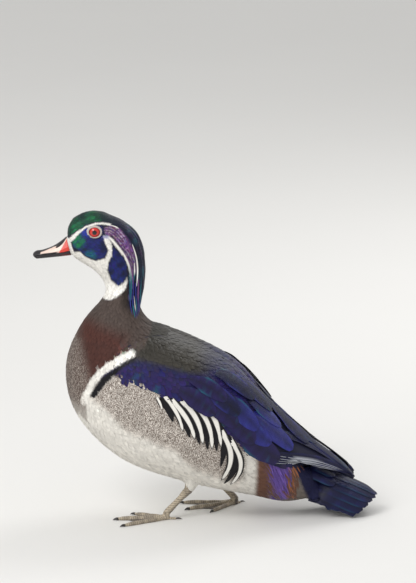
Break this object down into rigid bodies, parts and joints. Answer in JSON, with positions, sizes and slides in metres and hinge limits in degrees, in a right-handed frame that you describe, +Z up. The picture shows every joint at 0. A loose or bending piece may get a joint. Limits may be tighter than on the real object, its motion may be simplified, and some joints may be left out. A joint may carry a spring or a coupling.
{
  "type": "wood duck drake, life-size still model",
  "caption": "Crested drake wood duck standing in a slow stride, head high and tail low, as a still life-size museum model.",
  "frame": {"origin": "on the floor, under the middle of the bird's bounding box", "axes": "+Z up from the floor, the bird faces -X with its tail towards +X, and its left side is towards -Y"},
  "size_m": [0.363, 0.1406, 0.327],
  "materials": {
    "head_feathers": "short glossy feathers, green, blue and purple with white lines and a white throat",
    "crest_feathers": "long glossy hair-like feathers, blue-black and purple with white streaks",
    "bill_upper_horn": "satin horn, red at the root, pale on the sides, black ridge and nail",
    "bill_lower_horn": "satin black horn",
    "eye_glass": "wet red eye with a round black pupil under a clear cornea",
    "neck_feathers": "soft feathers, white in front and grey-brown below",
    "body_feathers": "overlapping feathers, chestnut breast, barred grey flanks, white belly",
    "wing_feathers": "glossy folded flight feathers, navy, purple and blue with silver edges",
    "tail_feathers": "stiff glossy blue-black feathers",
    "thigh_feathers": "soft off-white feathers",
    "leg_skin": "dull buff scaled skin with dark joints",
    "foot_skin": "dull buff scaled toes with dusky webs and dark claws"
  },
  "bodies": {
    "root": {"head": "head_feathers", "crest": "crest_feathers", "bill_upper": "bill_upper_horn", "bill_lower": "bill_lower_horn", "eye_left": "eye_glass", "eye_right": "eye_glass", "neck": "neck_feathers", "trunk": "body_feathers", "wing_left": "wing_feathers", "wing_right": "wing_feathers", "tail": "tail_feathers", "thigh_left": "thigh_feathers", "thigh_right": "thigh_feathers", "tarsus_left": "leg_skin", "tarsus_right": "leg_skin", "foot_left": "foot_skin", "foot_right": "foot_skin"}
  },
  "joints": []
}
